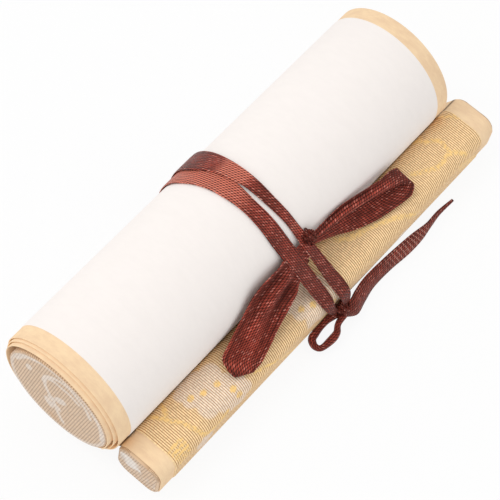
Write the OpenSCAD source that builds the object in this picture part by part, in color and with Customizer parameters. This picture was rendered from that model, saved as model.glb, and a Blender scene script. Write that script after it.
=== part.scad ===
// Small mounted paper scroll: a bordered sheet wound on a roller, its top end
// wrapped round a square stave, and the two tied together with a ribbon bow.
// X runs along the roller, Z is up and the stave lies on the -Y side.

/* [Sheet] */
// Width of the mounting paper, along the roller
sheet_w = 130.4; // [100:0.2:180]
// Thickness of the mounting paper
sheet_t = 0.3; // [0.2:0.05:0.4]
// Width of the bare border along each edge
border_w = 4.4; // [2:0.2:12]
// Width that the sheet gains where it wraps the stave
stave_flare = 5.4; // [0:0.2:8]
// Border beside the brocade on the stave
stave_border_w = 5.2; // [2:0.2:12]
// Thickness of the white paper pasted on the back
white_t = 0.12; // [0.08:0.02:0.2]
// Thickness of the brocade pasted on the front
brocade_t = 0.25; // [0.15:0.05:0.3]

/* [Roll] */
// Diameter of the wooden roller
roller_d = 31.6; // [26:0.2:40]
// Number of turns round the roller
turns = 3; // [2:1:5]
// Mean distance from one turn to the next
turn_pitch = 0.72; // [0.68:0.02:1]
// Share by which the turns gape on the stave's side and close up behind
turn_gape = 0.3; // [0:0.05:0.35]
// Play between the innermost turn and the roller
roller_play = 0.5; // [0.2:0.1:1.5]
// Sideways creep of each turn, so that the inner ones stand out at one end
turn_creep = 0.75; // [0:0.05:1.5]
// Depth by which the roll is flattened where it rests
roll_sag = 0.1; // [0.05:0.05:0.2]

/* [Stave] */
// Side of the square wooden stave
stave_side = 12.6; // [10:0.2:16]
// Radius of the stave's long edges
stave_corner = 3.4; // [2:0.1:4]
// Sideways offset of the stave from the middle of the roller
stave_offset = 5.6; // [0:0.2:8]

/* [End cloths] */
// Thickness of the cloth over the wooden ends
cap_t = 0.3; // [0.2:0.05:0.5]
// Length of the cloth's skirt along the wood
cap_skirt = 7; // [3:0.5:15]
// Softened edge of the covered ends
cap_edge = 0.6; // [0.4:0.1:1.2]
// Distance by which the covered ends stand out of the sheet
cap_proud = 0.7; // [0.2:0.1:3]

/* [Ribbon] */
// Thickness of the ribbon
ribbon_t = 0.4; // [0.3:0.05:0.6]

/* [Hidden] */
$fn = 96;

// Clearance left at each seat
seat_gap = 0.06;
// Angle between two stations of the sheet on the roll and on a corner of the stave
turn_step = 6;
corner_step = 15;

// Roll: radius of the innermost turn and height of its axis above the ribbon it rests on
rest_z = ribbon_t + seat_gap;
roller_r = roller_d / 2;
cap_r = roller_r + cap_t;
first_r = cap_r + seat_gap + roller_play + sheet_t / 2;
sheet_out = sheet_t / 2 + white_t;
loose_side = 190;
// Part of the last turn that lies past the lowest line of the roll
rise_part = 0.19;
function pitch_at(a) = turn_pitch * (1 + turn_gape * cos(a - loose_side));
function turn_r(a, k) = first_r + pitch_at(a) * k;
roll_floor = rest_z + sheet_out;
roll_z = roll_floor + turn_r(270, turns - rise_part) - roll_sag;
roller_y = -roller_play;

// Stave: seated on the sheet and the brocade that wrap it
stave_half = stave_side / 2;
core_path = cap_t + seat_gap + sheet_t / 2;
cloth_out = sheet_t / 2 + brocade_t;
wrap_out = stave_half + core_path + cloth_out;
stave_z = rest_z + wrap_out;
stave_top = stave_z + wrap_out;
corner_in = stave_half - stave_corner;
corner_path_r = stave_corner + core_path;

// Direction from the roll's axis to the line where the sheet crosses to the stave
function next_touch(a) =
    180 + asin((roll_z - stave_z - corner_in) / (turn_r(a, turns) + corner_path_r));
function settle(a, n) = n == 0 ? a : settle(next_touch(a), n - 1);
touch = settle(200, 6);
stave_y = (turn_r(touch, turns) + corner_path_r) * cos(touch) - corner_in;

// Length of each covered stick, and how the sheet shifts sideways along its winding and widens at its end
roller_l = sheet_w + 2 * (cap_proud - cap_t) + turn_creep;
stave_sheet_w = sheet_w + stave_flare;
stave_l = stave_sheet_w + 2 * (cap_proud - cap_t);
slant_turns = 0.5;
flare_turns = 0.12;
function ease(t) = t * t * (3 - 2 * t);
function end_part(k, over) = ease(max(0, (k - turns) / over + 1));
function turn_shift(k) =
    let (t = end_part(k, slant_turns)) turn_creep * (k - 1) * (1 - t) + stave_offset * t;

// Path of the sheet's middle as [y, z, sideways shift, share of the flare]:
// the winding, then the wrap of the stave
function turn_point(k) =
    let (a = touch - 360 * k, r = turn_r(a, k))
    [r * cos(a), max(roll_z + r * sin(a), roll_floor), turn_shift(k), end_part(k, flare_turns)];
turn_stations = round(turns * 360 / turn_step);
winding = [for (i = [0:turn_stations]) turn_point(turns * i / turn_stations)];
function corner_point(side, a, r) =
    [stave_y + side[0] * corner_in + r * cos(a), stave_z + side[1] * corner_in + r * sin(a)];
function corner_arc(side, from, to, r, n) =
    [for (i = [0:n]) corner_point(side, from + (to - from) * i / n, r)];
corner_n = 90 / corner_step;
// Direction that the wrap faces where it ends, under the line where it began
wrap_end = 350;
wrap = concat(
    [for (i = [1:corner_n])
        corner_point([1, 1], touch - 180 + (270 - touch) * i / corner_n, corner_path_r)],
    corner_arc([-1, 1], 90, 180, corner_path_r, corner_n),
    corner_arc([-1, -1], 180, 270, corner_path_r, corner_n),
    corner_arc([1, -1], 270, wrap_end, corner_path_r, corner_n));
sheet_path = concat(winding, [for (p = wrap) [p[0], p[1], stave_offset, 1]]);
// Station at which the white paper on the back ends, just before the sheet leaves the roll,
// and the one at which the brocade on the front starts
white_end = turn_stations - 2;
front_start = turn_stations - 6;

// Unit vector to the left of a path at station i, which points out of the roll
function left_of(p, i) =
    let (a = p[max(i - 1, 0)], b = p[min(i + 1, len(p) - 1)], d = [b[0] - a[0], b[1] - a[1]])
    [-d[1], d[0]] / norm(d);
function beside(p, i, d, x) =
    let (n = left_of(p, i)) [x, p[i][0] + d * n[0], p[i][1] + d * n[1]];

// Solid swept through rings of n corners each, closed at the first ring and the last
module strip(rings) {
    n = len(rings[0]);
    last = len(rings) - 1;
    sides = [for (i = [0:last - 1], j = [0:n - 1])
        let (a = n * i + j, b = n * i + (j + 1) % n) each [[a, b + n, b], [a, a + n, b + n]]];
    near_end = [for (j = [1:n - 2]) [0, j, j + 1]];
    far_end = [for (f = near_end) [for (v = [2:-1:0]) f[v] + n * last]];
    polyhedron([for (r = rings) each r], concat(sides, near_end, far_end));
}

// Layer of the sheet between two stations, from d_in to d_out beside its path
module layer(first, last, d_in, d_out, width, flare) {
    strip([for (i = [first:last])
        let (s = sheet_path[i][2], half = (width + flare * sheet_path[i][3]) / 2,
             near = s - half, far = s + half)
        [beside(sheet_path, i, d_in, near), beside(sheet_path, i, d_out, near),
         beside(sheet_path, i, d_out, far), beside(sheet_path, i, d_in, far)]]);
}

// Outline of a square with round corners
function rounded_square(half, corner) =
    [for (side = [[1, 1, 0], [-1, 1, 90], [-1, -1, 180], [1, -1, 270]], i = [0:corner_n])
        [side[0] * (half - corner) + corner * cos(side[2] + i * corner_step),
         side[1] * (half - corner) + corner * sin(side[2] + i * corner_step)]];

// Turns a shape drawn along +Z to run along +X, with its own X and Y along Y and Z
module along_x() { multmatrix([[0, 0, 1, 0], [1, 0, 0, 0], [0, 1, 0, 0], [0, 0, 0, 1]]) children(); }
module at_roller(x) { translate([x, roller_y, roll_z]) along_x() children(); }
module at_stave(x) { translate([stave_offset + x, stave_y, stave_z]) along_x() children(); }

module roller() {
    color("tan") at_roller(-roller_l / 2) cylinder(h = roller_l, r = roller_r);
}

// Cloth cup over the roller's end, its mouth towards -Z and its face at z = cap_t
module round_cap() {
    rim = [for (a = [90:-corner_step:0])
        [cap_r - cap_edge + cap_edge * cos(a), cap_t - cap_edge + cap_edge * sin(a)]];
    rotate_extrude()
        polygon(concat([[0, cap_t]], rim,
            [[cap_r, -cap_skirt], [roller_r, -cap_skirt], [roller_r, 0], [0, 0]]));
}

module roller_cap_near() {
    color("darkkhaki") at_roller(-roller_l / 2) mirror([0, 0, 1]) round_cap();
}

module roller_cap_far() {
    color("darkkhaki") at_roller(roller_l / 2) round_cap();
}

module stave() {
    color("tan") at_stave(-stave_l / 2)
        linear_extrude(stave_l) polygon(rounded_square(stave_half, stave_corner));
}

// Cloth cup over the stave's end, as round_cap(), from rings of half side, corner and height
module square_cap() {
    half = stave_half + cap_t;
    corner = stave_corner + cap_t;
    inside = [[stave_half, stave_corner, 0], [stave_half, stave_corner, -cap_skirt]];
    rim = [for (a = [0:2 * corner_step:90])
        let (inset = cap_edge * (1 - cos(a)))
        [half - inset, corner - inset, cap_t - cap_edge + cap_edge * sin(a)]];
    strip([for (ring = concat(inside, [[half, corner, -cap_skirt]], rim))
        [for (p = rounded_square(ring[0], ring[1])) [p[0], p[1], ring[2]]]]);
}

module stave_cap_near() {
    color("goldenrod") at_stave(-stave_l / 2) mirror([0, 0, 1]) square_cap();
}

module stave_cap_far() {
    color("goldenrod") at_stave(stave_l / 2) square_cap();
}

module mounting_sheet() {
    color("burlywood") layer(0, len(sheet_path) - 1, -sheet_t / 2, sheet_t / 2, sheet_w, stave_flare);
}

module white_panel() {
    color("whitesmoke") layer(1, white_end, sheet_t / 2, sheet_out, sheet_w - 2 * border_w, 0);
}

module brocade_panel() {
    color("goldenrod")
        layer(front_start, len(sheet_path) - 1, -cloth_out, -sheet_t / 2,
              stave_sheet_w - 2 * stave_border_w, 0);
}

// Belt of ribbon drawn tight round the roll and the stave, as [y, z, place along the belt]:
// 0 at the knot, 1 to 2 over the stave's edge, 3 to 6 round the roll, 7 to 8 under the stave
belt_gap = 0.2;
belt_out = belt_gap + ribbon_t / 2;
belt_low = ribbon_t / 2;
edge_n = 4;
roll_n = 36;
function outer_turn(a) = turns - 1 + ((touch - a + 720) % 360) / 360;
function roll_belt(a) =
    let (r = turn_r(a, outer_turn(a)) + sheet_out + belt_out)
    [r * cos(a), max(roll_z + r * sin(a), belt_low)];
edge_belt_r = corner_path_r + cloth_out + belt_out;
front_edge = [stave_y - corner_in, stave_z + corner_in - roll_z];
bridge_guess = 138;
roll_belt_r = norm(roll_belt(bridge_guess) - [0, roll_z]);
// Direction that the belt faces where it bridges from the roll to the stave
bridge = 180 - atan2(front_edge[1], -front_edge[0])
    - acos((roll_belt_r - edge_belt_r) / norm(front_edge));
front_y = stave_y - wrap_out;
// Height of the knot at the stave's front, and half the distance between the belt's two ends there
knot_z = stave_z - corner_in + 1;
knot_part = 0.5;
belt = concat(
    [[front_y - belt_out, knot_z + knot_part, 0]],
    [for (i = [0:edge_n]) let (a = 180 + (bridge - 180) * i / edge_n)
        [each corner_point([-1, 1], a, edge_belt_r), 1 + i / edge_n]],
    [for (i = [0:roll_n]) let (a = bridge - (bridge + 90) * i / roll_n)
        [each roll_belt(a), 3 + 3 * i / roll_n]],
    [for (i = [0:edge_n]) let (p = corner_point([-1, -1], 270 - 90 * i / edge_n, edge_belt_r))
        [p[0], max(p[1], belt_low), 7 + i / edge_n]],
    [[front_y - belt_out, knot_z - knot_part, 9]]);

// The belt's two strands, as pairs of place along the belt and middle, width or lift there
near_middle = [[0, 5], [1, 2.3], [2, 2], [3, -1.5], [3.45, -2.1], [3.9, -2.2], [4.25, -2.6], [5, -3.2],
    [5.4, -4], [6, -4], [7, 0], [9, 5]];
near_width = [[0, 3], [1, 4.8], [2, 5], [3, 5], [3.45, 4.3], [3.9, 6.4], [4.25, 8.4], [4.8, 9], [6, 9.4],
    [7, 9], [9, 3]];
near_lift = [[0, 0]];
far_middle = [[0, 8.5], [1, 7.7], [2, 7.5], [3, 4.2], [3.35, 3], [3.6, 2.7], [3.95, 2.1], [4.25, 1.4],
    [4.8, 1.6], [5, 2.2], [5.4, 5.8], [6, 5.8], [7, 9], [9, 8.5]];
far_width = [[0, 3], [1, 4.5], [2, 4.5], [3, 2.6], [3.35, 3.1], [3.6, 3.75], [3.95, 5.3], [4.25, 7.4],
    [4.8, 8], [6, 9.4], [7, 8], [9, 3]];
far_lift = [[3.3, 0], [3.6, 0.5], [5.2, 0.5], [5.6, 0]];

// Strand of the belt: its middle, width and lift, each looked up by place along the belt
module strand(middle, width, lift) {
    strip([for (i = [0:len(belt) - 1])
        let (s = belt[i][2], x = lookup(s, middle), w = lookup(s, width), d = lookup(s, lift))
        [beside(belt, i, d - ribbon_t / 2, x - w / 2), beside(belt, i, d + ribbon_t / 2, x - w / 2),
         beside(belt, i, d + ribbon_t / 2, x + w / 2), beside(belt, i, d - ribbon_t / 2, x + w / 2)]]);
}

// Curve through a list of points, with n steps from each to the next
function curve(p, n) = concat([for (i = [0:len(p) - 2], j = [0:n - 1])
    let (a = p[max(i - 1, 0)], b = p[i], c = p[i + 1], d = p[min(i + 2, len(p) - 1)], t = j / n)
    b + t / 2 * (c - a + t * (2 * a - 5 * b + 4 * c - d + t * (3 * b - a - 3 * c + d)))],
    [p[len(p) - 1]]);

// Band of ribbon ruled between two edges
module band(edge_a, edge_b) {
    a = curve(edge_a, 3);
    b = curve(edge_b, 3);
    last = len(a) - 1;
    strip([for (i = [0:last])
        let (h = max(i - 1, 0), k = min(i + 1, last),
             n = cross(b[i] - a[i], a[k] + b[k] - a[h] - b[h]), d = n / norm(n) * ribbon_t / 2)
        [a[i] - d, a[i] + d, b[i] + d, b[i] - d]]);
}

// Knot of ribbon wound round a point: a ring of thick links
knot_links = 6;
knot_ring = 0.7;
module knot(middle, turn, size) {
    translate(middle) rotate(turn)
        for (i = [0:knot_links - 1]) hull() for (a = [i, i + 1] * 360 / knot_links)
            translate(knot_ring * size * [cos(a), sin(a), 0]) sphere(d = size, $fn = 8);
}

// Point moved out, where it has to be, to a place where the ribbon clears the roll
function clear_of_roll(p) =
    let (a = atan2(p[2] - roll_z, p[1]), r = norm([p[1], p[2] - roll_z]),
         need = norm(roll_belt(a) - [0, roll_z]) + ribbon_t)
    r < need ? [p[0], need * cos(a), roll_z + need * sin(a)] : p;
function from(origin, points) = [for (p = points) clear_of_roll(origin + p)];

// Edges of the bow's loops, measured from the middle of the stave's top
top_mid = [0, stave_y, stave_top];
flat_loop_roll_side = [[5, 6.2, 12.4], [-3.5, 6.2, 13], [-8.5, 6.2, 13], [-15, 6, 12.3], [-20.5, 4.8, 8],
    [-25.6, 3.6, 4.2], [-29.6, 2.3, 2.3], [-30.8, -0.4, 1.8], [-31, -3, 1.3], [-30.6, -0.6, 0.8],
    [-29, 1.9, 0.9], [-24.5, 2.6, 2.6], [-19, 3.4, 6], [-14, 4.8, 10], [-7.5, 5.2, 10.2], [4, 4.8, 9.6]];
flat_loop_front_side = [[5, 3.4, 9.4], [-2.8, 0.4, 6.2], [-6, -0.6, 5.8], [-10.5, -2, 6.3],
    [-14.5, -3, 4.5], [-18.5, -4.3, 2.8], [-23.2, -5.6, 2], [-24.8, -5.7, 1.7], [-26.4, -5.7, 1.3],
    [-24.6, -5.5, 0.8], [-22.8, -5.2, 0.8], [-18, -3.9, 1.5], [-14.5, -2.6, 3.2], [-10.2, -1.4, 5.2],
    [-6, 0.4, 4.6], [4, 2.6, 7]];
open_loop_high = [[6.5, 5.8, 12.4], [12, 5.8, 12], [19.6, 6.1, 11], [27, 4.9, 9.6], [34, 3.8, 8.2],
    [38.3, 3.8, 7.2], [41, 3.3, 6], [40.9, 2.9, 5], [37.7, 2.3, 4], [32.5, 3.1, 3.4], [25.3, 4.4, 3.6],
    [17.5, 5.1, 5.5], [7.5, 5.2, 10]];
open_loop_low = [[6.5, 4.6, 10.8], [12, 4.5, 10.3], [18.4, 3.8, 8.8], [25.7, 2.8, 7.2], [33.1, 1.3, 5.8],
    [38.8, -0.4, 4.6], [41.9, -2.5, 3.4], [40.5, -3.7, 2.4], [38.4, -3.8, 1.5], [29.1, -1.9, 1],
    [21.9, 0.6, 1.4], [16.1, 2.9, 3.4], [8, 4.4, 8.5]];
bow_knot = [6.5, 5.8, 12.9];
bow_knot_turn = [48, 0, 0];
bow_knot_size = 2;

// Edges of the tail and the small loop, measured from the foot of the stave's front
front_foot = [0, front_y, 0];
tail_high = [[7, -2, 6], [15, -1, 5], [22, -0.8, 4.5], [30, -1, 4], [37.5, -1.5, 3.5], [45.5, -2, 2.5],
    [54, -3, 0.9]];
tail_low = [[9, -4, 3], [16.5, -3.6, 1.5], [23, -3.6, 0.8], [30, -3.5, 0.5], [37, -4, 0.5], [44.5, -4.2, 0.5],
    [54.5, -3.4, 0.4]];
eye_loop = [[6, -2, 5], [2.9, -1, 4.2], [0.5, -0.9, 4], [-2.2, -0.9, 3.2], [-4, -1.2, 2.6],
    [-4.9, -2.8, 2.2], [-4.3, -4.5, 2.4], [-1.3, -5.1, 3], [1.3, -5, 3.6], [3.2, -3.8, 4.4],
    [6.5, -3.2, 5]];
eye_half = [0.2, 0.3, 1];
front_knot = [6.8, -2.2, knot_z];
front_knot_turn = [0, 70, 0];
front_knot_size = 1.7;

module ribbon() {
    color("maroon") {
        strand(near_middle, near_width, near_lift);
        strand(far_middle, far_width, far_lift);
        band(from(top_mid, flat_loop_roll_side), from(top_mid, flat_loop_front_side));
        band(from(top_mid, open_loop_high), from(top_mid, open_loop_low));
        band(from(front_foot, tail_high), from(front_foot, tail_low));
        band(from(front_foot + eye_half, eye_loop), from(front_foot - eye_half, eye_loop));
        knot(top_mid + bow_knot, bow_knot_turn, bow_knot_size);
        knot(front_foot + front_knot, front_knot_turn, front_knot_size);
    }
}

roller();
roller_cap_near();
roller_cap_far();
stave();
stave_cap_near();
stave_cap_far();
mounting_sheet();
white_panel();
brocade_panel();
ribbon();
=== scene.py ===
"""Looks of a small blank hanging scroll, rolled up and tied to its brocade stave with a ribbon bow.

The solids of the frame give every place and main size. The paper layers, the end cloths and the ribbon are
skinned again here as smooth surfaces, in metres, and every surface gets its finish.
"""

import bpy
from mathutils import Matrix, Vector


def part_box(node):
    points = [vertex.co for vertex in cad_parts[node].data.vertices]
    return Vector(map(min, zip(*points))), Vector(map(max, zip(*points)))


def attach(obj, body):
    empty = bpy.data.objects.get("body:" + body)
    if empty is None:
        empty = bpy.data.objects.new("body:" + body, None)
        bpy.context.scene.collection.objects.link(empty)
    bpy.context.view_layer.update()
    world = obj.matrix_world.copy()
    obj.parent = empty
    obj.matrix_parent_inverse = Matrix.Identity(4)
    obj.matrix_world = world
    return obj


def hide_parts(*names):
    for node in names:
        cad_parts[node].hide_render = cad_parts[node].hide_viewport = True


bl_info = {
    "name": "Tied paper scroll",
    "version": (1, 0, 0),
    "blender": (4, 5, 0),
    "location": "3D View > Sidebar > Scroll",
    "description": "Paper, brocade and ribbon of a small scroll rolled up and tied to its stave",
    "category": "Object",
}

import math

import bpy
import numpy as np
from mathutils import Matrix, Vector

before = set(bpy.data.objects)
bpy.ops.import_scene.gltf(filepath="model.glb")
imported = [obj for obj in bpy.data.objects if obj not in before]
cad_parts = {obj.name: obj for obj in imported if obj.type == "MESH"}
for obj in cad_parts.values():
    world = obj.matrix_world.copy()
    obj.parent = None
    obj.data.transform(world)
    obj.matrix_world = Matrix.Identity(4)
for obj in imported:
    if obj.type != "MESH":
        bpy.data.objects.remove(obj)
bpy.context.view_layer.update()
MM = 0.001
BODY = "root"

ROLLER_LOW, ROLLER_HIGH = (np.array(corner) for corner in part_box("roller"))
STAVE_LOW, STAVE_HIGH = (np.array(corner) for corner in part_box("stave"))
ROLLER_MID = (ROLLER_LOW + ROLLER_HIGH) / 2
STAVE_MID = (STAVE_LOW + STAVE_HIGH) / 2
ROLLER_RADIUS = (ROLLER_HIGH[2] - ROLLER_LOW[2]) / 2
STAVE_HALF = (STAVE_HIGH[2] - STAVE_LOW[2]) / 2
TURN = 2 * math.pi

# The sheet's winding
SEAT_GAP = 0.06 * MM  # between the end cloth and the paper on it
REST_Z = 0.46 * MM  # height of the roll's underside, which lies on the ribbon
LOOSE_SIDE = math.radians(190)  # direction in which the turns gape
SLANT_TURNS = 0.5  # last stretch, over which the sheet moves sideways to the stave
FLARE_TURNS = 0.12  # last stretch, over which it grows wider
WRAP_END = math.radians(350)  # where the wrap ends under the stave
INNER_EDGE = 0.45 * MM  # how far the innermost edge stands out
WHITE_START = 1.5 * MM  # bare paper at the roller
WHITE_SHORT = 12 / 360  # turns by which the white paper ends before the stave
FRONT_EARLY = 36 / 360  # turns by which the brocade starts before the stave
CREASE_SHADE_WIDTH = 0.7 * MM  # of the painted shade line where the sheet leaves the roll

# Fixed colours
# Painted shade in the fold where the sheet leaves the roll
CREASE_SHADE_TINT = (0.06, 0.025, 0.008)
WOOD_DARK = (0.40, 0.24, 0.11)
WOOD_LIGHT = (0.60, 0.42, 0.24)

# Fineness of the grids
WOUND_POINTS = 1500
CORNER_POINTS = 40
MARK_STEP = 0.2 * MM
PAPER_STEP = 0.5 * MM
CLOTH_STEP = 0.4 * MM
CLOTH_COLUMNS = 312
CUP_COLUMNS = 192
CUP_RIM_ROWS = 8
CUP_FACE_ROWS = 48
STEM_STEPS = 12
RAIL_STEPS = 14
BELT_STEP = 0.4 * MM
BELT_CORNER_POINTS = 24
BELT_ROLL_POINTS = 160
BELT_SMOOTHING = 17
TAPE_COLUMNS = 29
ROPE_COLUMNS = 24
KNOT_ROWS = 72
SHARP_ANGLE = math.radians(50)

# The end cloths
RIB_TILT = math.radians(13)  # of the ribs from upright
CAP_PLEATS = 48  # gathers round the sides of a cup
CAP_PLEAT = 0.03 * MM  # their height
CUP_POLE = 0.02  # share of the radius at which a face is closed with one polygon

# The stage
SENSOR_WIDTH = 36.0
CLIP_START = 0.01
KEY_PLACE = (-0.35, 0.5, 1.1)
KEY_SIZE = 0.6
FLOOR_HALF = 4.0
FLOOR_GLOW = 0.9  # share of white in the floor that the camera sees


class ScrollSheet(bpy.types.PropertyGroup):
    """Sizes and colours of the pasted paper layers."""
    width: bpy.props.FloatProperty(
        name="Width", description="Width of the mounting paper", default=0.1304, unit="LENGTH")
    flare: bpy.props.FloatProperty(
        name="Flare", description="Width that the sheet gains at the stave", default=0.0054, unit="LENGTH")
    thickness: bpy.props.FloatProperty(
        name="Thickness", description="Thickness of the mounting paper", default=0.0003, unit="LENGTH")
    border: bpy.props.FloatProperty(
        name="Border", description="Bare border along each edge", default=0.0044, unit="LENGTH")
    stave_border: bpy.props.FloatProperty(
        name="Stave border", description="Border beside the brocade", default=0.0052, unit="LENGTH")
    white_thickness: bpy.props.FloatProperty(
        name="White paper", description="Thickness of the white paper", default=0.00012, unit="LENGTH")
    cloth_thickness: bpy.props.FloatProperty(
        name="Brocade", description="Thickness of the brocade", default=0.00025, unit="LENGTH")
    white: bpy.props.FloatVectorProperty(
        name="White", description="Colour of the white paper", subtype="COLOR", default=(0.94, 0.885, 0.85))
    tan: bpy.props.FloatVectorProperty(
        name="Tan", description="Colour of the mounting paper", subtype="COLOR", default=(0.97, 0.69, 0.44))


class ScrollRoll(bpy.types.PropertyGroup):
    """How the sheet is wound on the roller."""
    turns: bpy.props.IntProperty(name="Turns", description="Turns round the roller", default=3)
    pitch: bpy.props.FloatProperty(
        name="Pitch", description="Mean distance between turns", default=0.00072, unit="LENGTH")
    gape: bpy.props.FloatProperty(
        name="Gape", description="Share by which the turns gape towards the stave", default=0.3)
    play: bpy.props.FloatProperty(
        name="Play", description="Play of the innermost turn", default=0.0005, unit="LENGTH")
    creep: bpy.props.FloatProperty(
        name="Creep", description="Sideways creep of each turn", default=0.00075, unit="LENGTH")
    cap: bpy.props.FloatProperty(
        name="End cloth", description="Thickness of the cloth over the ends", default=0.0003, unit="LENGTH")
    skirt: bpy.props.FloatProperty(
        name="Skirt", description="Length of the end cloth along the wood", default=0.007, unit="LENGTH")
    edge: bpy.props.FloatProperty(
        name="Edge", description="Softened edge of the covered ends", default=0.0006, unit="LENGTH")
    corner: bpy.props.FloatProperty(
        name="Corner", description="Radius of the stave's long edges", default=0.0034, unit="LENGTH")


class ScrollBrocade(bpy.types.PropertyGroup):
    """Threads of the brocades."""
    rib: bpy.props.FloatProperty(
        name="Rib", description="Pitch of the gold brocade's ribs", default=0.00061, unit="LENGTH")
    end_rib: bpy.props.FloatProperty(
        name="End rib", description="Pitch of the end cloth's ribs", default=0.00072, unit="LENGTH")
    ground: bpy.props.FloatVectorProperty(
        name="Ground", description="Colour of the rib threads", subtype="COLOR", default=(1.0, 0.755, 0.435))
    groove: bpy.props.FloatVectorProperty(
        name="Groove", description="Colour between the ribs", subtype="COLOR", default=(0.40, 0.105, 0.004))
    gold: bpy.props.FloatVectorProperty(
        name="Gold", description="Colour of the gold threads", subtype="COLOR", default=(0.98, 0.65, 0.25))
    silver: bpy.props.FloatVectorProperty(
        name="Silver", description="Colour of the silver threads", subtype="COLOR",
        default=(0.94, 0.80, 0.65))
    end_ground: bpy.props.FloatVectorProperty(
        name="End ground", description="Colour of the end cloth's rib threads", subtype="COLOR",
        default=(0.70, 0.49, 0.31))
    end_groove: bpy.props.FloatVectorProperty(
        name="End groove", description="Colour between the end cloth's ribs", subtype="COLOR",
        default=(0.38, 0.20, 0.09))
    end_gold: bpy.props.FloatVectorProperty(
        name="End gold", description="Colour of the end cloth's brown figures", subtype="COLOR",
        default=(0.55, 0.26, 0.07))
    end_silver: bpy.props.FloatVectorProperty(
        name="End silver", description="Colour of the end cloth's silver figures", subtype="COLOR",
        default=(0.90, 0.85, 0.80))


class ScrollRibbon(bpy.types.PropertyGroup):
    """The woven tape of the bow."""
    width: bpy.props.FloatProperty(
        name="Width", description="Width of the flat tape", default=0.010, unit="LENGTH")
    length: bpy.props.FloatProperty(
        name="Flat length", description="Flat length declared for the tape, shorter than the drawn one",
        default=0.42, unit="LENGTH")
    thickness: bpy.props.FloatProperty(
        name="Thickness", description="Thickness of the tape", default=0.0004, unit="LENGTH")
    column: bpy.props.FloatProperty(
        name="Column", description="Width of one column of stitches", default=0.0006, unit="LENGTH")
    stitch: bpy.props.FloatProperty(
        name="Stitch", description="Length of one stitch", default=0.0009, unit="LENGTH")
    lacing: bpy.props.FloatProperty(
        name="Lacing", description="Pitch of the laced rows in the tail", default=0.00145, unit="LENGTH")
    light: bpy.props.FloatVectorProperty(
        name="Light", description="Colour of the stitches", subtype="COLOR", default=(0.65, 0.105, 0.068))
    dark: bpy.props.FloatVectorProperty(
        name="Dark", description="Colour between the stitches", subtype="COLOR",
        default=(0.04, 0.004, 0.0025))
    # Painted highlight colour, towards which the most brightly lit stitches are mixed
    painted_highlight: bpy.props.FloatVectorProperty(
        name="Faded", description="Colour of the stitches where the tape is handled most", subtype="COLOR",
        default=(1.0, 0.30, 0.20))
    glint: bpy.props.FloatVectorProperty(
        name="Glint", description="Colour of the stitches that catch the light", subtype="COLOR",
        default=(0.88, 0.46, 0.38))


class ScrollStage(bpy.types.PropertyGroup):
    """Camera, lamp and sky."""
    eye: bpy.props.FloatVectorProperty(
        name="Eye", description="Place of the camera", subtype="TRANSLATION",
        default=(-0.19680, -0.11216, 0.46437))
    right: bpy.props.FloatVectorProperty(
        name="Right", description="Direction to the picture's right", subtype="DIRECTION",
        default=(0.6457, -0.7564, 0.1050))
    back: bpy.props.FloatVectorProperty(
        name="Back", description="Direction from the object to the camera", subtype="DIRECTION",
        default=(-0.3906, -0.2090, 0.8965))
    lens: bpy.props.FloatProperty(
        name="Lens", description="Focal length on a 36 mm sensor, in millimetres", default=139.98)
    key: bpy.props.FloatProperty(
        name="Key", description="Power of the large soft lamp", default=3.5, unit="POWER")
    sky: bpy.props.FloatProperty(
        name="Sky", description="Strength of the even light from all round", default=0.84)


def settings(name):
    """Property group of the scene with that name."""
    return getattr(bpy.context.scene, "scroll_" + name)


def smooth_step(x):
    """0 below 0, 1 above 1, and the cubic 3x^2 - 2x^3 between."""
    x = np.clip(x, 0.0, 1.0)
    return x * x * (3 - 2 * x)


def unit(v):
    """Vectors of the last axis, each divided by its length."""
    return v / np.linalg.norm(v, axis=-1, keepdims=True)


# Meshes

def ring_faces(n, m):
    """Quads between n closed rings of m points, and the polygons that close the first and the last ring.

    Each comes with the ring and the unwrapped column of its corners, for the UV map.
    """
    i, j = np.meshgrid(np.arange(n - 1), np.arange(m), indexing="ij")
    rows = np.stack([i, i, i + 1, i + 1], axis=-1).reshape(-1, 4)
    columns = np.stack([j, j + 1, j + 1, j], axis=-1).reshape(-1, 4)
    ends = np.stack([np.arange(m)[::-1], np.arange(m)])
    end_rows = np.repeat([[0], [n - 1]], m, axis=1)
    quads = rows * m + columns % m
    closing = end_rows * m + ends
    return quads, closing, (rows, columns), (end_rows, ends)


def enclosed(points, quads, closing):
    """Six times the volume inside a skin: the sum over its triangles of a . (b x c)."""
    fans = [np.stack([np.full(len(p) - 2, p[0]), p[1:-1], p[2:]], axis=-1) for p in closing]
    tris = np.concatenate([quads[:, [0, 1, 2]], quads[:, [0, 2, 3]], *fans])
    a, b, c = (points[tris[:, k]] for k in range(3))
    return np.einsum("ij,ij->", a, np.cross(b, c))


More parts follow.
